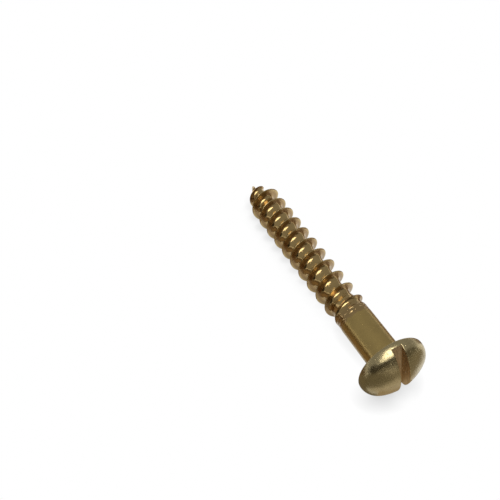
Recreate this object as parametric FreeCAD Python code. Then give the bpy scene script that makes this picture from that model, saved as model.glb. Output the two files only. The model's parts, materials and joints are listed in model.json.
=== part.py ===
import FreeCAD, Part
import math
import os

# Driving dimensions: lengths in millimetres, angles in degrees.
# Distances along the axis start at the flat under the head and run to the point.

length_under_head = 31.75

head_diameter = 7.7
head_height = 2.35
shoulder_radius = 1.3
rim_height = 0.3

slot_width = 1.16
slot_depth = 1.7
slot_offset = 0.355

shank_diameter = 3.84
shank_length = 6.3

thread_diameter = 4.24
root_diameter = 2.76
pitch = 2.0
ridge_width = 0.66
slim_ridge_share = 0.4

# A short rolled band lies between the shank and the thread. There the ridge rises
# fast and the core falls slowly. The point is a slow taper followed by a short cone,
# and the ridge shrinks towards it.
band_length = 1.0
ridge_rise_length = 0.9
run_out_length = 2.8
taper_length = 3.8
taper_end_diameter = 1.64
cone_length = 1.5
tip_diameter = 0.12
ridge_taper_length = 3.3
ridge_tip_diameter = 0.6
ridge_end_before_tip = 0.15
ridge_fade_length = 0.8

# How the screw has rolled as it lies, seen from the head end and measured
# anticlockwise from the horizontal. The thread's angle is where it leaves the shank.
slot_turn = 98.5
thread_turn = 44.0

# Construction values
sections_per_turn = 6
overlap_in_shank = 0.3
step_below_shank = 0.02
clearance_outside_head = 1.0

head_radius = head_diameter / 2
shank_radius = shank_diameter / 2
thread_radius = thread_diameter / 2
root_radius = root_diameter / 2
taper_end_radius = taper_end_diameter / 2
tip_radius = tip_diameter / 2

# The side of the head curls in below its widest place and ends at a crisp edge
shoulder_centre = head_radius - shoulder_radius
underside_radius = shoulder_centre + math.sqrt(shoulder_radius**2 - rim_height**2)

run_out_start = shank_length + band_length
run_out_end = run_out_start + run_out_length
cone_start = length_under_head - cone_length
taper_start = cone_start - taper_length
ridge_taper_start = length_under_head - ridge_taper_length
ridge_end = length_under_head - ridge_end_before_tip
ridge_fade_start = ridge_end - ridge_fade_length


def share_between(value, start, end):
    return min(max((value - start) / (end - start), 0.0), 1.0)


def mix(first, second, share):
    return first + (second - first) * share


def core_radius(along):
    """The screw's body under the thread, at a distance along the axis."""
    if along < taper_start:
        share = share_between(along, run_out_start, run_out_end)
        return mix(shank_radius - step_below_shank, root_radius, share)
    if along < cone_start:
        return mix(root_radius, taper_end_radius, share_between(along, taper_start, cone_start))
    return mix(taper_end_radius, tip_radius, share_between(along, cone_start, length_under_head))


def crest_radius(along):
    """The thread's outer edge: level with the core at both ends, full between them."""
    rising = share_between(along, run_out_start, run_out_start + ridge_rise_length)
    radius = mix(shank_radius - step_below_shank, thread_radius, math.sin(rising * math.pi / 2))
    falling = share_between(along, ridge_taper_start, length_under_head)
    radius = mix(radius, ridge_tip_diameter / 2, falling)
    return mix(radius, core_radius(along), share_between(along, ridge_fade_start, ridge_end))


def head_and_shank():
    """The round head and plain shank as one turned form, standing on its axis."""
    def at(radius, along):
        return FreeCAD.Vector(radius, 0, -along)

    def arc(start, centre, end):
        middle = centre + ((start - centre) + (end - centre)).normalize() * start.distanceToPoint(centre)
        return Part.Arc(start, middle, end).toShape()

    # The crown's arc runs on into the shoulder's, which runs past the widest place
    rise = head_height - rim_height
    crown_radius = (shoulder_centre**2 + rise**2 - shoulder_radius**2) / (2 * (rise - shoulder_radius))
    crown = at(0, -head_height)
    crown_centre = at(0, crown_radius - head_height)
    shoulder = at(shoulder_centre, -rim_height)
    meeting = crown_centre + (shoulder - crown_centre).normalize() * crown_radius
    underside_edge = at(underside_radius, 0)
    shank_foot = [at(shank_radius, 0), at(shank_radius, shank_length), at(0, shank_length)]
    corners = [underside_edge, *shank_foot, crown]
    outline = [arc(crown, crown_centre, meeting)]
    outline.append(arc(meeting, shoulder, underside_edge))
    for start, end in zip(corners, corners[1:]):
        outline.append(Part.makeLine(start, end))
    section = Part.Face(Part.Wire(Part.__sortEdges__(outline)))
    return section.revolve(FreeCAD.Vector(0, 0, 0), FreeCAD.Vector(0, 0, 1), 360)


def slot_cutter():
    """The driver slot: straight walls and a flat floor, sawn right across the head.

    It runs a little off the middle, as on the screw that was measured."""
    across = head_diameter + 2 * clearance_outside_head
    cutter = Part.makeBox(slot_width, across, slot_depth + clearance_outside_head)
    side = slot_offset - slot_width / 2
    cutter.translate(FreeCAD.Vector(side, -across / 2, head_height - slot_depth))
    cutter.rotate(FreeCAD.Vector(0, 0, 0), FreeCAD.Vector(0, 0, 1), slot_turn)
    return cutter


def thread_section(along):
    """Radius and place along the axis of the ridge's corners: root, crest and root again."""
    crest = crest_radius(along)
    height = max(crest - core_radius(along), 0)
    size = mix(slim_ridge_share, 1.0, share_between(height, 0, thread_radius - root_radius))
    half_root = ridge_width / 2 * size
    return [
        (core_radius(along - half_root), along - half_root),
        (max(crest, core_radius(along)), along),
        (core_radius(along + half_root), along + half_root),
    ]


def threaded_body():
    """Core and right-hand ridge as one solid, made of helical strips.

    The strips begin inside the shank and end beyond the tip, so that both
    spiral ends are hidden or cut away."""
    start = shank_length - pitch - overlap_in_shank
    turns = math.ceil((length_under_head + overlap_in_shank + pitch / 2 - start) / pitch)
    rails = [[] for corner in thread_section(start)]
    for index in range((turns + 1) * sections_per_turn + 1):
        along = start + pitch * index / sections_per_turn
        angle = math.radians(thread_turn - 360 * (along - shank_length) / pitch)
        for rail, (radius, place) in zip(rails, thread_section(along)):
            rail.append(FreeCAD.Vector(-radius * math.sin(angle), radius * math.cos(angle), -place))
    curves = []
    for rail in rails:
        curve = Part.BSplineCurve()
        curve.interpolate(Points=rail, Parameters=list(range(len(rail))))
        curves.append(curve)

    def rail_edge(number, turn):
        """One turn of a rail. The one past the last is the first, a turn later."""
        turn += number // len(curves)
        number %= len(curves)
        first = turn * sections_per_turn
        return Part.Edge(curves[number], first, first + sections_per_turn)

    faces = []
    for turn in range(turns):
        for number in range(len(curves)):
            faces.append(Part.makeRuledSurface(rail_edge(number, turn), rail_edge(number + 1, turn), 1))

    # Close each end with a spiral floor out from the axis, and one flat step
    for turn in (0, turns):
        rim = rail_edge(0, turn)
        first = rim.valueAt(rim.FirstParameter)
        last = rim.valueAt(rim.LastParameter)
        centre_first = FreeCAD.Vector(0, 0, first.z)
        centre_last = FreeCAD.Vector(0, 0, last.z)
        faces.append(Part.makeRuledSurface(Part.makeLine(centre_first, centre_last), rim, 1))
        step = turn * sections_per_turn
        corners = [rail[step] for rail in rails] + [last, centre_last, centre_first, first]
        faces.append(Part.Face(Part.makePolygon(corners)))

    shell = Part.makeShell(faces)
    shell.sewShape()
    body = Part.Solid(shell)
    if body.Volume < 0:
        body.reverse()
    beyond = Part.makeBox(head_diameter, head_diameter, 2 * pitch + clearance_outside_head)
    beyond.translate(FreeCAD.Vector(-head_radius, -head_radius, -length_under_head - beyond.BoundBox.ZLength))
    print("threaded body", body.isValid(), round(body.Volume, 3), len(body.Faces))
    return body.cut(beyond)


def resting_tilt():
    """The lean of the axis when the head's side and one turn of the thread touch the ground."""
    lean = []
    along = shank_length + pitch * ((thread_turn + 90) % 360) / 360
    while along < ridge_end:
        run = along + rim_height
        rise = shoulder_centre - crest_radius(along)
        lean.append(math.atan2(rise, run) + math.asin(shoulder_radius / math.hypot(rise, run)))
        along += pitch
    return math.degrees(min(lean))


def lay_down(screw):
    """Turn the standing screw onto its side, head towards +X, resting on z = 0."""
    tilt = resting_tilt()
    screw.rotate(FreeCAD.Vector(0, 0, 0), FreeCAD.Vector(0, 1, 0), 90 - tilt)
    lean = math.radians(tilt)
    rim_support = shoulder_centre * math.cos(lean) - rim_height * math.sin(lean) + shoulder_radius
    box = screw.optimalBoundingBox(False)
    screw.translate(FreeCAD.Vector(-(box.XMin + box.XMax) / 2, 0, rim_support))
    print("resting tilt", round(tilt, 3), "degrees, seat at", round(-(box.XMin + box.XMax) / 2, 3))
    return screw


screw = head_and_shank().cut(slot_cutter()).fuse(threaded_body())
screw = lay_down(screw.Solids[0])
print("valid", screw.isValid(), "volume", round(screw.Volume, 2), "faces", len(screw.Faces))

os.makedirs("parts", exist_ok=True)
screw.exportStep("parts/round_head_wood_screw.step")
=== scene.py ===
import json
import math

import bmesh
import bpy
from mathutils import Matrix, Vector


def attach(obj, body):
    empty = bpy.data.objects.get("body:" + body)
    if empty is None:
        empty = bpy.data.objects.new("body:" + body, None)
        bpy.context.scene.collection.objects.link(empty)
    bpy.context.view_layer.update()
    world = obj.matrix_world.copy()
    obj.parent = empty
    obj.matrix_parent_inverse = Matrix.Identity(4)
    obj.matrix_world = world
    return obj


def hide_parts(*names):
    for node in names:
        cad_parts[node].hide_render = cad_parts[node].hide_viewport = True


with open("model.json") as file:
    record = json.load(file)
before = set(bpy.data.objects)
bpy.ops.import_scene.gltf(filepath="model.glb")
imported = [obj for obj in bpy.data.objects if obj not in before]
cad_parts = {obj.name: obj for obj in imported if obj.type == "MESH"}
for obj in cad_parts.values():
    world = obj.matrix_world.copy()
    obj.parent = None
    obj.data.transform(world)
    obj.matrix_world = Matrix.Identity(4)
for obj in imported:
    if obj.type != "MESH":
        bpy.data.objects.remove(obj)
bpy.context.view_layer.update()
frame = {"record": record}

nodeName = "round_head_wood_screw"
mm = 0.001
print("frame loaded")

# The screw is built standing, point down, with the seat under its head at z = 0,
# and laid down at the end. Lengths are in millimetres until then.
screw = {
    "lengthUnderHead": 31.75,
    "headRadius": 3.844,
    "headHeight": 2.35,
    "shoulderRadius": 1.3,
    "rimHeight": 0.3,        # the head is widest here
    "edgeRound": 0.12,       # the crisp lower edge of the head is broken by this much
    "neckFillet": 0.3,
    "shankRadius": 1.92,
    "shankLength": 6.3,
    "headSteps": 160,        # around the head and shank
    "crownSteps": 26,        # and along the profile, from the crown down
    "shoulderSteps": 22,
    "edgeSteps": 5,
    "seatSteps": 6,
    "neckSteps": 6,
    "shankSteps": 14,
    "sharpFrom": 38,         # degrees between two faces that meet at a sharp edge
}

slot = {
    "width": 1.16,
    "depth": 1.7,
    "offset": 0.355,         # the saw ran a little off the middle
    "turn": 98.5,            # degrees, seen from the head end
    "lip": 0.07,             # rounding of the two long edges
    "lipDrop": 0.8,          # of a full quarter round
    "lipSteps": 3,
    "corner": 0.05,          # rounding along the bottom
    "cornerSteps": 3,
    "cutAbove": 0.1,         # the plane of the slot's floor cuts only faces above this
}

thread = {
    "pitch": 2.0,
    "turn": 44.0,            # where the ridge leaves the shank
    "crestRadius": 2.12,
    "rootRadius": 1.38,
    "ridgeWidth": 0.9,
    "slimRidge": 0.4,        # width of a low ridge, as a share of the full one
    "hollow": 2.6,           # how steeply the flanks sweep up to the crest
    "crestRound": 0.045,
    "valleyDip": 0.2,        # the valleys are a little hollow, as a share of the ridge's height
    "band": 1.0,             # rolled band between the shank and the thread
    "ridgeRise": 0.9,        # the ridge rises over this length
    "runOut": 2.8,           # and the core falls over this one
    "step": 0.02,            # the rolled part starts this much below the shank
    "taperLength": 3.8,
    "taperEndRadius": 0.82,
    "coneLength": 1.5,
    "tipRadius": 0.06,
    "tipCut": 0.05,          # the core is cut off here, measured from the point
    "tipEnd": 0.01,          # and drawn together here
    "ridgeTaperLength": 3.3,
    "ridgeTipRadius": 0.3,
    "ridgeEndBeforeTip": 0.15,
    "ridgeFadeLength": 0.8,
    "stepsPerTurn": 112,
    "hiddenTurns": 1.5,      # wound above the end of the shank and cut off again
    "spareTurns": 2,         # and below the point
    "flankPlaces": (0.02, 0.045, 0.075, 0.11, 0.16, 0.22, 0.3, 0.38),    # from the crest line
    "valleyPlaces": (0.14, 0.28, 0.42),                                  # from the foot of the flank
}

# Planes cut, and points are welded, within these distances
cutWithin = 1e-5
weldWithin = {"head": 1e-5, "rim": 5e-4, "slot": 2e-5, "thread": 1e-4}
slack = 1e-3     # a point this near to a line, as a share of the lip, is on it

finishes = ["turned", "sawn", "rolled"]      # in the order of the screw's materials


def shareBetween(value, start, end):
    return min(max((value - start) / (end - start), 0.0), 1.0)


def mix(first, second, share):
    return first + (second - first) * share


def arcPoints(centre, radius, start, end, count):
    # points in the profile's plane, angles in degrees from +X towards +Z
    points = []
    for index in range(count + 1):
        angle = math.radians(mix(start, end, index / count))
        points.append(Vector((centre[0] + radius * math.cos(angle), 0, centre[1] + radius * math.sin(angle))))
    return points


def linePoints(start, end, count):
    # points along a straight line, without the first
    shares = [index / count for index in range(1, count + 1)]
    return [Vector((mix(start[0], end[0], share), 0, mix(start[1], end[1], share))) for share in shares]


def addPath(mesh, points):
    verts = [mesh.verts.new(point) for point in points]
    return verts, [mesh.edges.new(pair) for pair in zip(verts, verts[1:])]


def withEdges(faces):
    # the faces with their edges and vertices, for a plane to cut
    edges = dict.fromkeys(edge for face in faces for edge in face.edges)
    verts = dict.fromkeys(vert for face in faces for vert in face.verts)
    return faces + list(edges) + list(verts)


def onlyOf(kind, items):
    return [item for item in items if isinstance(item, kind)]


def headProfile():
    s = screw
    shoulderPlace = s["headRadius"] - s["shoulderRadius"]
    rise = s["headHeight"] - s["rimHeight"]
    squares = shoulderPlace ** 2 + rise ** 2 - s["shoulderRadius"] ** 2
    crownRadius = squares / (2 * (rise - s["shoulderRadius"]))
    crownPlace = s["headHeight"] - crownRadius
    meeting = math.degrees(math.atan2(s["rimHeight"] - crownPlace, shoulderPlace))
    points = arcPoints((0, crownPlace), crownRadius, 90, meeting, s["crownSteps"])
    # The side runs on below its widest place as far as the broken edge
    reach = s["shoulderRadius"] - s["edgeRound"]
    drop = math.degrees(math.asin((s["rimHeight"] - s["edgeRound"]) / reach))
    shoulder = (shoulderPlace, s["rimHeight"])
    points += arcPoints(shoulder, s["shoulderRadius"], meeting, -drop, s["shoulderSteps"])[1:]
    edge = (shoulderPlace + reach * math.cos(math.radians(drop)), s["edgeRound"])
    points += arcPoints(edge, s["edgeRound"], -drop, -90, s["edgeSteps"])[1:]
    neck = s["shankRadius"] + s["neckFillet"]
    points += linePoints((edge[0], 0), (neck, 0), s["seatSteps"])
    points += arcPoints((neck, -s["neckFillet"]), s["neckFillet"], 90, 180, s["neckSteps"])[1:]
    shankTop = (s["shankRadius"], points[-1].z)
    points += linePoints(shankTop, (s["shankRadius"], -s["shankLength"]), s["shankSteps"])
    return points


def buildHead():
    mesh = bmesh.new()
    mesh.verts.layers.float.new("crest")
    verts, edges = addPath(mesh, headProfile())
    bmesh.ops.spin(mesh, geom=verts + edges, cent=(0, 0, 0), axis=(0, 0, 1), angle=math.tau,
                   steps=screw["headSteps"], use_merge=True)
    bmesh.ops.remove_doubles(mesh, verts=mesh.verts, dist=weldWithin["head"])
    bmesh.ops.recalc_face_normals(mesh, faces=mesh.faces)
    # The slot is cut along Y, and its middle is brought to x = 0 for that
    bmesh.ops.translate(mesh, verts=mesh.verts, vec=(-slot["offset"], 0, 0))
    cutLines(mesh)
    roundLips(mesh)
    sinkSlot(mesh)
    bmesh.ops.translate(mesh, verts=mesh.verts, vec=(slot["offset"], 0, 0))
    turned = Matrix.Rotation(math.radians(slot["turn"]), 3, "Z")
    bmesh.ops.rotate(mesh, verts=mesh.verts, cent=(0, 0, 0), matrix=turned)
    return mesh


def slotFloor():
    return screw["headHeight"] - slot["depth"]


def cutLines(mesh):
    # Planes cut the dome where the slot's edges, lips and floor will be
    half = slot["width"] / 2
    for index in range(slot["lipSteps"] + 1):
        line = half + slot["lip"] * index / slot["lipSteps"]
        for side in (-1, 1):
            dome = [face for face in mesh.faces if face.calc_center_median().z > screw["rimHeight"]]
            bmesh.ops.bisect_plane(mesh, geom=withEdges(dome), dist=cutWithin, plane_co=(side * line, 0, 0),
                                   plane_no=(1, 0, 0))
    between = [face for face in mesh.faces if abs(face.calc_center_median().x) < half
               and face.calc_center_median().z > slot["cutAbove"]]
    bmesh.ops.bisect_plane(mesh, geom=withEdges(between), dist=cutWithin, plane_co=(0, 0, slotFloor()),
                           plane_no=(0, 0, 1))


def roundLips(mesh):
    half = slot["width"] / 2
    mesh.normal_update()
    for vert in mesh.verts:
        share = 1 - (abs(vert.co.x) - half) / slot["lip"]
        if vert.co.z > slotFloor() - slot["lip"] and 0 < share <= 1 + slack:
            share = min(share, 1)
            vert.co -= vert.normal * slot["lip"] * (1 - math.sqrt(1 - share ** 2)) * slot["lipDrop"]
            if share == 1:
                vert.co.x = math.copysign(half, vert.co.x)


def sinkSlot(mesh):
    # The dome is opened, and its rim drawn down the walls, round the corners and across the floor
    half = slot["width"] / 2
    floor = slotFloor()
    gone = [face for face in mesh.faces if abs(face.calc_center_median().x) < half
            and face.calc_center_median().z > floor]
    bmesh.ops.delete(mesh, geom=gone, context="FACES")
    bmesh.ops.remove_doubles(mesh, verts=mesh.verts, dist=weldWithin["rim"])
    rim = [edge for edge in mesh.edges if edge.is_boundary and edge.verts[0].co.z > 0]
    for index in range(slot["cornerSteps"] + 1):
        turn = math.pi / 2 * index / slot["cornerSteps"]
        reach = half - slot["corner"] * (1 - math.cos(turn))
        level = floor + slot["corner"] * (1 - math.sin(turn))
        made = bmesh.ops.extrude_edge_only(mesh, edges=rim)["geom"]
        for vert in onlyOf(bmesh.types.BMVert, made):
            vert.co.x = min(max(vert.co.x, -reach), reach)
            vert.co.z = min(vert.co.z, level)
        for face in onlyOf(bmesh.types.BMFace, made):
            face.material_index = finishes.index("sawn")
        rim = onlyOf(bmesh.types.BMEdge, made)
    for face in bmesh.ops.contextual_create(mesh, geom=rim)["faces"]:
        face.material_index = finishes.index("sawn")
    bmesh.ops.remove_doubles(mesh, verts=mesh.verts, dist=weldWithin["slot"])
    bmesh.ops.dissolve_degenerate(mesh, dist=cutWithin, edges=mesh.edges)
    bmesh.ops.recalc_face_normals(mesh, faces=mesh.faces)


def coreRadius(along):
    t = thread
    coneStart = screw["lengthUnderHead"] - t["coneLength"]
    taperStart = coneStart - t["taperLength"]
    bandEnd = screw["shankLength"] + t["band"]
    if along < taperStart:
        share = shareBetween(along, bandEnd, bandEnd + t["runOut"])
        return mix(screw["shankRadius"] - t["step"], t["rootRadius"], share)
    if along < coneStart:
        return mix(t["rootRadius"], t["taperEndRadius"], shareBetween(along, taperStart, coneStart))
    return mix(t["taperEndRadius"], t["tipRadius"], shareBetween(along, coneStart, screw["lengthUnderHead"]))


def crestRadius(along):
    t = thread
    bandEnd = screw["shankLength"] + t["band"]
    rising = shareBetween(along, bandEnd, bandEnd + t["ridgeRise"])
    radius = mix(screw["shankRadius"] - t["step"], t["crestRadius"], math.sin(rising * math.pi / 2))
    tip = screw["lengthUnderHead"]
    radius = mix(radius, t["ridgeTipRadius"], shareBetween(along, tip - t["ridgeTaperLength"], tip))
    ridgeEnd = tip - t["ridgeEndBeforeTip"]
    return mix(radius, coreRadius(along), shareBetween(along, ridgeEnd - t["ridgeFadeLength"], ridgeEnd))


def ridgeShare(offset):
    # height of the ridge at a distance from its crest line: hollow flanks, rounded crest
    half = thread["ridgeWidth"] / 2
    soft = math.sqrt(offset ** 2 + thread["crestRound"] ** 2) - thread["crestRound"]
    return max(1 - soft / half, 0) ** thread["hollow"]


def windStrip():
    # One strip, a pitch wide, is wound round the axis and copied down to below the point
    t = thread
    pitch = t["pitch"]
    foot = t["ridgeWidth"] / 2
    side = [*t["flankPlaces"], foot, *(foot + place for place in t["valleyPlaces"]), pitch / 2]
    places = [-place for place in reversed(side)] + [0.0] + side
    start = screw["shankLength"] - t["hiddenTurns"] * pitch
    turns = math.ceil((screw["lengthUnderHead"] - start) / pitch) + t["spareTurns"]
    angle = math.radians(t["turn"] - 360 * (start - screw["shankLength"]) / pitch)
    mesh = bmesh.new()
    verts, edges = addPath(mesh, [Vector((0, 1, -(start + place))) for place in places])
    bmesh.ops.rotate(mesh, verts=mesh.verts, cent=(0, 0, 0), matrix=Matrix.Rotation(angle, 3, "Z"))
    bmesh.ops.spin(mesh, geom=verts + edges, cent=(0, 0, 0), axis=(0, 0, 1), angle=-math.tau,
                   dvec=(0, 0, -pitch / t["stepsPerTurn"]), steps=t["stepsPerTurn"])
    oneTurn = list(mesh.verts) + list(mesh.edges) + list(mesh.faces)
    for index in range(1, turns):
        copied = bmesh.ops.duplicate(mesh, geom=oneTurn)["geom"]
        moved = onlyOf(bmesh.types.BMVert, copied)
        bmesh.ops.translate(mesh, verts=moved, vec=(0, 0, -pitch * index))
    bmesh.ops.remove_doubles(mesh, verts=mesh.verts, dist=weldWithin["thread"])
    return mesh


def shapeThread(mesh):
    # Every point of the strip goes to its height on the core or the ridge.
    # The crest layer keeps how far up the ridge it is, for the finish.
    t = thread
    pitch = t["pitch"]
    half = t["ridgeWidth"] / 2
    fullHeight = t["crestRadius"] - t["rootRadius"]
    crestLayer = mesh.verts.layers.float.new("crest")
    for vert in mesh.verts:
        turned = math.atan2(-vert.co.x, vert.co.y)
        crestLine = screw["shankLength"] + pitch * (math.radians(t["turn"]) - turned) / math.tau
        away = (-vert.co.z - crestLine + pitch / 2) % pitch - pitch / 2
        crest = -vert.co.z - away
        height = max(crestRadius(crest) - coreRadius(crest), 0)
        slim = mix(t["slimRidge"], 1, shareBetween(height, 0, fullHeight))
        if abs(away) <= half:
            along = crest + away * slim
        else:
            valley = mix(half * slim, pitch / 2, shareBetween(abs(away), half, pitch / 2))
            along = crest + math.copysign(valley, away)
        core = coreRadius(along)
        rise = max(crestRadius(crest) - core, 0)
        dip = t["valleyDip"] * (1 - math.cos(math.tau * away / pitch)) / 2
        radius = core + rise * ridgeShare(away) - dip * rise
        vert.co = Vector((-radius * math.sin(turned), radius * math.cos(turned), -along))
        vert[crestLayer] = ridgeShare(away) * min(rise / fullHeight, 1)


def cutAway(mesh, level, facing):
    everything = list(mesh.verts) + list(mesh.edges) + list(mesh.faces)
    bmesh.ops.bisect_plane(mesh, geom=everything, dist=cutWithin, plane_co=(0, 0, level),
                           plane_no=(0, 0, facing), clear_outer=True)


def buildThread():
    mesh = windStrip()
    shapeThread(mesh)
    tip = -screw["lengthUnderHead"]
    cutAway(mesh, -screw["shankLength"], 1)
    cutAway(mesh, tip + thread["tipCut"], -1)
    openEnd = [edge for edge in mesh.edges if edge.is_boundary and edge.verts[0].co.z < tip / 2]
    made = bmesh.ops.extrude_edge_only(mesh, edges=openEnd)["geom"]
    drawn = onlyOf(bmesh.types.BMVert, made)
    bmesh.ops.pointmerge(mesh, verts=drawn, merge_co=(0, 0, tip + thread["tipEnd"]))
    for face in mesh.faces:
        face.material_index = finishes.index("rolled")
    return mesh


def joinMeshes(first, second):
    # second is copied into first, and the ring between their open loops is filled
    holder = bpy.data.meshes.new("holder")
    second.to_mesh(holder)
    second.free()
    first.from_mesh(holder)
    bpy.data.meshes.remove(holder)
    loops = [edge for edge in first.edges if edge.is_boundary]
    bmesh.ops.triangle_fill(first, edges=loops, use_beauty=True)
    bmesh.ops.recalc_face_normals(first, faces=first.faces)
    return first


def layDown(mesh):
    # The frame's shank mount gives the seat's place and the lean of the axis
    mount = next(mount for mount in frame["record"]["mounts"] if mount["name"] == "shank")
    axis = Vector(mount["axis"])
    tilt = math.atan2(-axis.z, -axis.x)
    place = Vector(mount["pos_m"]) - axis * screw["shankLength"] / 2 * mm
    laid = Matrix.Rotation(math.pi / 2 - tilt, 3, "Y")
    bmesh.ops.scale(mesh, verts=mesh.verts, vec=(mm, mm, mm))
    bmesh.ops.rotate(mesh, verts=mesh.verts, cent=(0, 0, 0), matrix=laid)
    bmesh.ops.translate(mesh, verts=mesh.verts, vec=place)
    return place, tilt


body = joinMeshes(buildHead(), buildThread())
seatPlace, lean = layDown(body)
screwMesh = bpy.data.meshes.new("brassScrew")
body.to_mesh(screwMesh)
body.free()
piece = bpy.data.objects.new("brassScrew", screwMesh)
bpy.context.scene.collection.objects.link(piece)
screwMesh.shade_smooth()
screwMesh.set_sharp_from_angle(angle=math.radians(screw["sharpFrom"]))
triangles = sum(len(face.vertices) - 2 for face in screwMesh.polygons)
print("screw built:", len(screwMesh.vertices), "vertices,", triangles, "triangles")


def newMaterial(name):
    material = bpy.data.materials.new(name)
    material.use_nodes = True
    material.node_tree.nodes.clear()
    return material


def newGroup(name, inputs, outputs):
    group = bpy.data.node_groups.new(name, "ShaderNodeTree")
    for title, kind in inputs:
        group.interface.new_socket(title, in_out="INPUT", socket_type=kind)
    for title, kind in outputs:
        group.interface.new_socket(title, in_out="OUTPUT", socket_type=kind)
    return group, group.nodes.new("NodeGroupInput"), group.nodes.new("NodeGroupOutput")


def feed(tree, socket, value):
    # an output is linked to the socket, and anything else is the socket's own value
    if isinstance(value, bpy.types.NodeSocket):
        tree.links.new(value, socket)
    else:
        socket.default_value = value


def placeGroup(tree, group, values):
    node = tree.nodes.new("ShaderNodeGroup")
    node.node_tree = group
    for title, value in values.items():
        feed(tree, node.inputs[title], value)
    return node


def mathNode(tree, operation, *values):
    node = tree.nodes.new("ShaderNodeMath")
    node.operation = operation
    for socket, value in zip(node.inputs, values):
        feed(tree, socket, value)
    return node.outputs[0]


def noiseNode(tree, vector, scale, detail, roughness=0.5):
    node = tree.nodes.new("ShaderNodeTexNoise")
    values = {"Vector": vector, "Scale": scale, "Detail": detail, "Roughness": roughness}
    for title, value in values.items():
        feed(tree, node.inputs[title], value)
    return node.outputs["Fac"]


def rangeNode(tree, value, low, high, toLow=0.0, toHigh=1.0):
    node = tree.nodes.new("ShaderNodeMapRange")
    values = {"Value": value, "From Min": low, "From Max": high, "To Min": toLow, "To Max": toHigh}
    for title, number in values.items():
        feed(tree, node.inputs[title], number)
    return node.outputs["Result"]


def mixColour(tree, share, first, second):
    node = tree.nodes.new("ShaderNodeMix")
    node.data_type = "RGBA"
    feed(tree, node.inputs[0], share)
    feed(tree, node.inputs[6], first)
    feed(tree, node.inputs[7], second)
    return node.outputs[2]


def splitNode(tree, vector):
    node = tree.nodes.new("ShaderNodeSeparateXYZ")
    tree.links.new(vector, node.inputs[0])
    return node.outputs


def stretched(tree, vector, scale):
    node = tree.nodes.new("ShaderNodeMapping")
    node.inputs["Scale"].default_value = scale
    tree.links.new(vector, node.inputs["Vector"])
    return node.outputs[0]


# Scales are waves or cells per millimetre on the screw
pitting = {
    "grainScale": 9.0,
    "dentScale": 1.6,
    "pitScale": 2.2,
    "pitEdge": (0.2, 0.08),      # from a pit's rim to its floor, in cells
    "patchScale": 1.1,           # pits come in patches
    "patchEdge": (0.45, 0.6),
}


def buildPitted():
    # Fine grain, soft dents and scattered pits
    p = pitting
    group, start, end = newGroup("pittedBrass",
                                 [("Vector", "NodeSocketVector"), ("Grain", "NodeSocketFloat"),
                                  ("Pits", "NodeSocketFloat"), ("Dents", "NodeSocketFloat")],
                                 [("Height", "NodeSocketFloat")])
    vector = start.outputs["Vector"]
    grain = noiseNode(group, vector, p["grainScale"], 3, 0.65)
    dents = noiseNode(group, vector, p["dentScale"], 2)
    cells = group.nodes.new("ShaderNodeTexVoronoi")
    cells.inputs["Scale"].default_value = p["pitScale"]
    group.links.new(vector, cells.inputs["Vector"])
    patch = rangeNode(group, noiseNode(group, vector, p["patchScale"], 1), *p["patchEdge"])
    pit = mathNode(group, "MULTIPLY", rangeNode(group, cells.outputs["Distance"], *p["pitEdge"]), patch)
    height = mathNode(group, "MULTIPLY", grain, start.outputs["Grain"])
    height = mathNode(group, "ADD", height, mathNode(group, "MULTIPLY", dents, start.outputs["Dents"]))
    height = mathNode(group, "SUBTRACT", height, mathNode(group, "MULTIPLY", pit, start.outputs["Pits"]))
    group.links.new(height, end.inputs["Height"])
    return group


tarnishing = {
    "wideScale": 0.7,
    "wideEdge": (0.35, 0.68),
    "wideShare": 0.6,
    "fineScale": 5.0,
    "fineEdge": (0.3, 0.7),
    "fineShare": 0.4,
}


def buildTarnish():
    # Bright and dull brass in soft clouds
    t = tarnishing
    group, start, end = newGroup("tarnish",
                                 [("Vector", "NodeSocketVector"), ("Bright", "NodeSocketColor"),
                                  ("Dull", "NodeSocketColor"), ("Amount", "NodeSocketFloat")],
                                 [("Color", "NodeSocketColor"), ("Cloud", "NodeSocketFloat")])
    vector = start.outputs["Vector"]
    wide = rangeNode(group, noiseNode(group, vector, t["wideScale"], 4, 0.6), *t["wideEdge"])
    fine = rangeNode(group, noiseNode(group, vector, t["fineScale"], 3, 0.6), *t["fineEdge"])
    wide = mathNode(group, "MULTIPLY", wide, t["wideShare"])
    fine = mathNode(group, "MULTIPLY", fine, t["fineShare"])
    cloud = mathNode(group, "MULTIPLY", mathNode(group, "ADD", wide, fine), start.outputs["Amount"])
    colour = mixColour(group, cloud, start.outputs["Bright"], start.outputs["Dull"])
    group.links.new(colour, end.inputs["Color"])
    group.links.new(cloud, end.inputs["Cloud"])
    return group


pittedBrass = buildPitted()
tarnish = buildTarnish()


def screwVector(tree):
    # Millimetres on the standing screw: X across the slot, Y along it, Z up the axis
    coords = tree.nodes.new("ShaderNodeTexCoord")
    place = tree.nodes.new("ShaderNodeMapping")
    place.vector_type = "TEXTURE"
    turned = Matrix.Rotation(math.pi / 2 - lean, 3, "Y") @ Matrix.Rotation(math.radians(slot["turn"]), 3, "Z")
    place.inputs["Location"].default_value = seatPlace
    place.inputs["Rotation"].default_value = turned.to_euler()
    place.inputs["Scale"].default_value = (mm, mm, mm)
    tree.links.new(coords.outputs["Object"], place.inputs["Vector"])
    return place.outputs[0]


def placePits(tree, vector, finish):
    values = {"Vector": vector, "Grain": finish["grain"], "Pits": finish["pits"], "Dents": finish["dents"]}
    return placeGroup(tree, pittedBrass, values).outputs["Height"]


def placeTarnish(tree, vector, bright, dull, amount):
    return placeGroup(tree, tarnish, {"Vector": vector, "Bright": bright, "Dull": dull, "Amount": amount})


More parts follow.
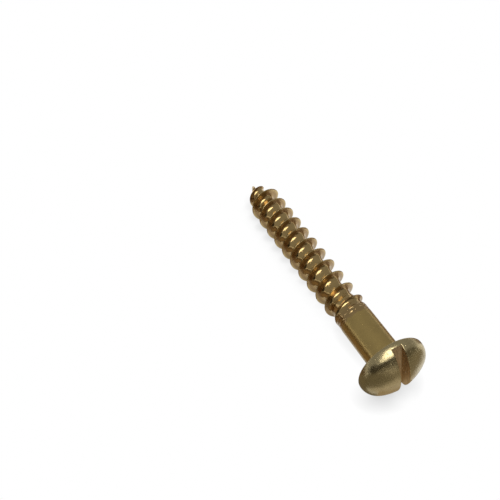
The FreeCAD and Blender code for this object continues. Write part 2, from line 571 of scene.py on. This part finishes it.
def threadLines(tree, vector, scale):
    # Streaks left by the rolling. They follow the thread, and start again at its crest.
    parts = splitNode(tree, vector)
    turned = mathNode(tree, "ARCTAN2", parts["Y"], parts["X"])
    pitch = thread["pitch"]
    crest = -screw["shankLength"] - pitch * (thread["turn"] + 90 - slot["turn"]) / 360
    level = mathNode(tree, "MULTIPLY_ADD", turned, -pitch / math.tau, parts["Z"])
    level = mathNode(tree, "WRAP", level, crest + pitch, crest)
    joined = tree.nodes.new("ShaderNodeCombineXYZ")
    for socket, value in zip(joined.inputs, (level, parts["X"], parts["Y"])):
        tree.links.new(value, socket)
    return noiseNode(tree, stretched(tree, joined.outputs[0], scale), 1.0, 3, 0.6)


def metalShader(tree, colour, roughness, height, bumpDistance):
    output = tree.nodes.new("ShaderNodeOutputMaterial")
    shader = tree.nodes.new("ShaderNodeBsdfPrincipled")
    shader.inputs["Metallic"].default_value = 1
    bump = tree.nodes.new("ShaderNodeBump")
    bump.inputs["Distance"].default_value = bumpDistance * mm
    tree.links.new(height, bump.inputs["Height"])
    tree.links.new(colour, shader.inputs["Base Color"])
    tree.links.new(roughness, shader.inputs["Roughness"])
    tree.links.new(bump.outputs[0], shader.inputs["Normal"])
    tree.links.new(shader.outputs["BSDF"], output.inputs["Surface"])


turnedBrass = {
    "bright": (0.62, 0.445, 0.16, 1),
    "dull": (0.47, 0.335, 0.125, 1),
    "sandy": (0.58, 0.475, 0.255, 1),     # the head is paler and greyer than the shank
    "sandyDull": (0.44, 0.355, 0.185, 1),
    "cloud": 0.9,
    "roughness": (0.2, 0.34),
    "headEdge": (-0.1, 0.1),     # the head's finish takes over here, along the axis
    "grain": (0.4, 1.1),         # on the shank and on the head, as the pits
    "pits": (0.9, 1.6),
    "dents": 1.2,
    "bump": 0.014,
    "smear": 0.8,                # how far the rolled finish reaches up the shank, in ragged strokes
    "smearScale": 2.5,
    "smearEdge": (0.16, 0.26),   # from the end of the shank
}


def turnedMaterial():
    b = turnedBrass
    material = newMaterial("turnedBrass")
    tree = material.node_tree
    vector = screwVector(tree)
    along = splitNode(tree, vector)["Z"]
    onHead = rangeNode(tree, along, *b["headEdge"])
    grain = rangeNode(tree, onHead, 0, 1, *b["grain"])
    pits = rangeNode(tree, onHead, 0, 1, *b["pits"])
    height = placePits(tree, vector, {"grain": grain, "pits": pits, "dents": b["dents"]})
    bright = mixColour(tree, onHead, b["bright"], b["sandy"])
    dull = mixColour(tree, onHead, b["dull"], b["sandyDull"])
    clouds = placeTarnish(tree, vector, bright, dull, b["cloud"])
    roughness = rangeNode(tree, clouds.outputs["Cloud"], 0, 1, *b["roughness"])
    strokes = noiseNode(tree, vector, b["smearScale"], 4, 0.6)
    ragged = mathNode(tree, "MULTIPLY_ADD", strokes, -b["smear"], along)
    above, below = (-screw["shankLength"] - edge for edge in b["smearEdge"])
    smear = rangeNode(tree, ragged, above, below)
    colour = mixColour(tree, smear, clouds.outputs["Color"], rolledBrass["band"])
    metalShader(tree, colour, roughness, height, b["bump"])
    return material


sawnBrass = {
    "bright": (0.73, 0.57, 0.35, 1),
    "dull": (0.46, 0.35, 0.21, 1),
    "cloud": 0.6,
    "roughness": (0.28, 0.42),
    "grain": 0.3,
    "pits": 0.4,
    "dents": 0.2,
    "scratches": 3.0,            # depth of the saw's strokes, in bumps
    "scratchScale": (9.0, 0.35, 9.0),
    "shadeEdge": (0.35, 0.65),
    "roughEdge": (0.3, 0.7),
    "bump": 0.014,
}


def sawnMaterial():
    b = sawnBrass
    material = newMaterial("sawnBrass")
    tree = material.node_tree
    vector = screwVector(tree)
    strokes = noiseNode(tree, stretched(tree, vector, b["scratchScale"]), 1.0, 4, 0.7)
    height = mathNode(tree, "MULTIPLY", strokes, b["scratches"])
    height = mathNode(tree, "ADD", height, placePits(tree, vector, b))
    clouds = placeTarnish(tree, vector, b["bright"], b["dull"], b["cloud"])
    colour = mixColour(tree, rangeNode(tree, strokes, *b["shadeEdge"]), clouds.outputs["Color"], b["dull"])
    roughness = rangeNode(tree, strokes, *b["roughEdge"], *b["roughness"])
    metalShader(tree, colour, roughness, height, b["bump"])
    return material


rolledBrass = {
    "bright": (0.61, 0.44, 0.19, 1),
    "dull": (0.46, 0.31, 0.125, 1),
    "worn": (0.68, 0.52, 0.25, 1),
    # painted shade: the colour of the thread's flanks, darker than the valleys
    "paintedFlankShade": (0.40, 0.265, 0.125, 1),
    "band": (0.46, 0.315, 0.14, 1),
    "cloud": 1.0,
    "paintedShadeTo": 0.35,           # of the ridge's height
    "wornFrom": 0.6,
    "roughness": (0.08, 0.17),
    "flankRoughness": 0.22,
    "lines": 0.7,                # depth of the fine lines that follow the thread, in bumps
    "lineScale": (6.0, 0.7, 0.7),
    "lineEdge": (0.45, 0.65),
    "linePaintedReflection": 0.35,
    "grain": 0.3,
    "pits": 0.6,
    "dents": 1.4,
    "bump": 0.014,
    "ribs": 1.8,                 # depth of the ribs round the rolled band, in bumps
    "ribSpacing": 0.42,
    "ribsEnd": 1.5,              # from the end of the shank
    "breakScale": 1.3,           # the ribs are broken in places
    "breakEdge": (0.42, 0.6),
}


def bandRibs(tree, vector, along, onBand):
    b = rolledBrass
    ribs = mathNode(tree, "SINE", mathNode(tree, "MULTIPLY", along, math.tau / b["ribSpacing"]))
    whole = rangeNode(tree, noiseNode(tree, vector, b["breakScale"], 2), *b["breakEdge"])
    ribs = mathNode(tree, "MULTIPLY", ribs, whole)
    return mathNode(tree, "MULTIPLY", mathNode(tree, "MULTIPLY", ribs, onBand), b["ribs"])


def rolledMaterial():
    b = rolledBrass
    material = newMaterial("rolledBrass")
    tree = material.node_tree
    vector = screwVector(tree)
    along = splitNode(tree, vector)["Z"]
    crest = tree.nodes.new("ShaderNodeAttribute")
    crest.attribute_name = "crest"
    clouds = placeTarnish(tree, vector, b["bright"], b["dull"], b["cloud"])
    lines = threadLines(tree, vector, b["lineScale"])
    shaded = rangeNode(tree, lines, *b["lineEdge"], 0, b["linePaintedReflection"])
    colour = mixColour(tree, shaded, clouds.outputs["Color"], b["dull"])
    shankEnd = -screw["shankLength"]
    onBand = rangeNode(tree, along, shankEnd - b["ribsEnd"], shankEnd - b["ribsEnd"] / 2)
    colour = mixColour(tree, onBand, colour, b["band"])
    # Painted shade on the flanks: the colour darkens from the valley up the ridge, and the worn crest is laid
    # over it
    onFlank = rangeNode(tree, crest.outputs["Fac"], 0, b["paintedShadeTo"])
    colour = mixColour(tree, onFlank, colour, b["paintedFlankShade"])
    worn = rangeNode(tree, crest.outputs["Fac"], b["wornFrom"], 1)
    colour = mixColour(tree, worn, colour, b["worn"])
    roughness = rangeNode(tree, clouds.outputs["Cloud"], 0, 1, *b["roughness"])
    roughness = rangeNode(tree, onFlank, 0, 1, roughness, b["flankRoughness"])
    height = mathNode(tree, "ADD", bandRibs(tree, vector, along, onBand), placePits(tree, vector, b))
    height = mathNode(tree, "MULTIPLY_ADD", lines, b["lines"], height)
    metalShader(tree, colour, roughness, height, b["bump"])
    return material


makers = {"turned": turnedMaterial, "sawn": sawnMaterial, "rolled": rolledMaterial}
for finish in finishes:
    screwMesh.materials.append(makers[finish]())
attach(piece, "root")
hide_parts(nodeName)
print("materials on")


# Lengths from here on are in metres, apart from the cards'
studio = {
    "floorSize": 3.0,
    "floorDrop": 0.00002,        # the floor lies this much below the screw
    "floorPaintedReflection": 0.8,
    "world": 0.33,
    "contactShadow": 0.002,      # reach of the shadow that is seen on the floor
    "contactDepth": 0.5,
    "mirroredShadow": 0.014,     # and of the one that the metal mirrors
}

lamps = [
    # name, azimuth and elevation in degrees, distance, width, height, radiance
    ("key", -20, 66, 0.3, 0.21, 0.31, 3.2),
    ("thread", -109, 61.5, 0.3, 0.012, 0.022, 5.5),
]

# Painted reflections: cards that glow with a set shade and that only the metal mirrors, in the places where
# flags and reflectors would stand round bright work. Most lie just above the floor, and two stand upright.
paintedReflections = [
    # name, middle, length and width in millimetres, turn in degrees, upright, shade of the painted reflection
    ("frontLow", (30, -16, 0.1), 34, 26, -45, False, (0.18, 0.16, 0.12)),
    ("frontMid", (34.4, -4, 0.08), 34, 20, 5, False, (0.60, 0.55, 0.48)),
    ("frontRight", (31.4, 15, 0.11), 28, 24, 5, False, (0.27, 0.24, 0.185)),
    ("frontHigh", (44, -26, 13), 26, 90, -36, True, (0.03, 0.025, 0.018)),
    ("sideHigh", (46, 26, 10), 20, 50, 42, True, (0.10, 0.09, 0.065)),
    ("leftNear", (2, -6.2, 0.14), 28, 5.4, 0, False, (0.27, 0.195, 0.12)),
    ("headLeft", (14.2, -7.5, 0.16), 5, 11, 0, False, (0.20, 0.17, 0.12)),
    ("underHead", (15.8, 0.4, 0.1), 4, 5, 0, False, (0.42, 0.33, 0.21)),
    ("leftLow", (-3, -23, 0.12), 36, 40, 0, False, (0.14, 0.10, 0.065)),
    ("rightLow", (-4, 27, 0.12), 32, 40, 0, False, (0.26, 0.20, 0.15)),
]

view = {
    "eye": (0.04244, -0.02952, 0.06429),
    "forward": (-0.59481, 0.29131, -0.74922),
    "lens": 49.65,               # millimetres, as the sensor
    "sensor": 36,
    "clip": (0.001, 10),
}


def linked(name, contents):
    item = bpy.data.objects.new(name, contents)
    bpy.context.scene.collection.objects.link(item)
    return item


def flatPlate(name, length, width):
    mesh = bmesh.new()
    bmesh.ops.create_grid(mesh, x_segments=1, y_segments=1, size=0.5)
    bmesh.ops.scale(mesh, verts=mesh.verts, vec=(length, width, 1))
    plate = bpy.data.meshes.new(name)
    mesh.to_mesh(plate)
    mesh.free()
    return plate


def floorMaterial():
    # White to the camera and in the metal, with the screw's shadow, and plain grey to other light
    material = newMaterial("floorWhite")
    tree = material.node_tree
    nodes, links = tree.nodes, tree.links
    output = nodes.new("ShaderNodeOutputMaterial")
    matt = nodes.new("ShaderNodeBsdfDiffuse")
    matt.inputs["Color"].default_value = (*[studio["floorPaintedReflection"]] * 3, 1)
    white = nodes.new("ShaderNodeEmission")
    white.inputs["Strength"].default_value = 1
    path = nodes.new("ShaderNodeLightPath")
    near = nodes.new("ShaderNodeAmbientOcclusion")
    near.inputs["Distance"].default_value = studio["contactShadow"]
    wide = nodes.new("ShaderNodeAmbientOcclusion")
    wide.inputs["Distance"].default_value = studio["mirroredShadow"]
    seen = rangeNode(tree, near.outputs["AO"], 0, 1, 1 - studio["contactDepth"], 1)
    shade = nodes.new("ShaderNodeMix")
    links.new(path.outputs["Is Camera Ray"], shade.inputs[0])
    links.new(wide.outputs["AO"], shade.inputs[2])
    links.new(seen, shade.inputs[3])
    links.new(shade.outputs[0], white.inputs["Color"])
    shown = mathNode(tree, "MAXIMUM", path.outputs["Is Camera Ray"], path.outputs["Is Glossy Ray"])
    shown = mathNode(tree, "MAXIMUM", shown, path.outputs["Is Transmission Ray"])
    blend = nodes.new("ShaderNodeMixShader")
    links.new(shown, blend.inputs[0])
    links.new(matt.outputs[0], blend.inputs[1])
    links.new(white.outputs[0], blend.inputs[2])
    links.new(blend.outputs[0], output.inputs["Surface"])
    return material


def buildFloor():
    floor = linked("floor", flatPlate("floor", studio["floorSize"], studio["floorSize"]))
    floor.location.z = -studio["floorDrop"]
    floor.data.materials.append(floorMaterial())


def paintedReflectionMaterial(name, shade):
    material = newMaterial(name)
    tree = material.node_tree
    output = tree.nodes.new("ShaderNodeOutputMaterial")
    # The card glows with its shade: a painted reflection for the metal, not a lamp
    glow = tree.nodes.new("ShaderNodeEmission")
    glow.inputs["Color"].default_value = (*shade, 1)
    tree.links.new(glow.outputs[0], output.inputs["Surface"])
    return material


def buildPaintedReflections():
    for name, middle, length, width, turn, upright, shade in paintedReflections:
        card = linked(name, flatPlate(name, length * mm, width * mm))
        card.location = Vector(middle) * mm
        card.rotation_euler = (0, math.pi / 2 if upright else 0, math.radians(turn))
        card.data.materials.append(paintedReflectionMaterial(name + "PaintedReflection", shade))
        # Seen only in the metal's reflections as painted reflection; it lights nothing and casts no shadow
        card.visible_camera = False
        card.visible_diffuse = False
        card.visible_shadow = False


def direction(azimuth, elevation):
    a, e = math.radians(azimuth), math.radians(elevation)
    return Vector((math.cos(a) * math.cos(e), math.sin(a) * math.cos(e), math.sin(e)))


def buildLamps():
    for name, azimuth, elevation, distance, width, height, radiance in lamps:
        light = bpy.data.lights.new(name, "AREA")
        light.shape = "RECTANGLE"
        light.size = width
        light.size_y = height
        light.energy = radiance * math.pi * width * height
        lamp = linked(name, light)
        towards = direction(azimuth, elevation)
        lamp.location = towards * distance
        lamp.rotation_euler = (-towards).to_track_quat("-Z", "Y").to_euler()


def buildWorld():
    world = bpy.data.worlds.new("studio")
    bpy.context.scene.world = world
    world.use_nodes = True
    background = world.node_tree.nodes["Background"]
    background.inputs["Color"].default_value = (*[studio["world"]] * 3, 1)


def buildCamera():
    camera = bpy.data.cameras.new("camera")
    camera.lens = view["lens"]
    camera.sensor_width = view["sensor"]
    camera.clip_start, camera.clip_end = view["clip"]
    holder = linked("camera", camera)
    holder.location = view["eye"]
    holder.rotation_euler = Vector(view["forward"]).to_track_quat("-Z", "Y").to_euler()
    bpy.context.scene.camera = holder


buildFloor()
buildPaintedReflections()
buildLamps()
buildWorld()
buildCamera()
bpy.context.scene.view_settings.view_transform = "Standard"
print("stage, lamps and camera ready")
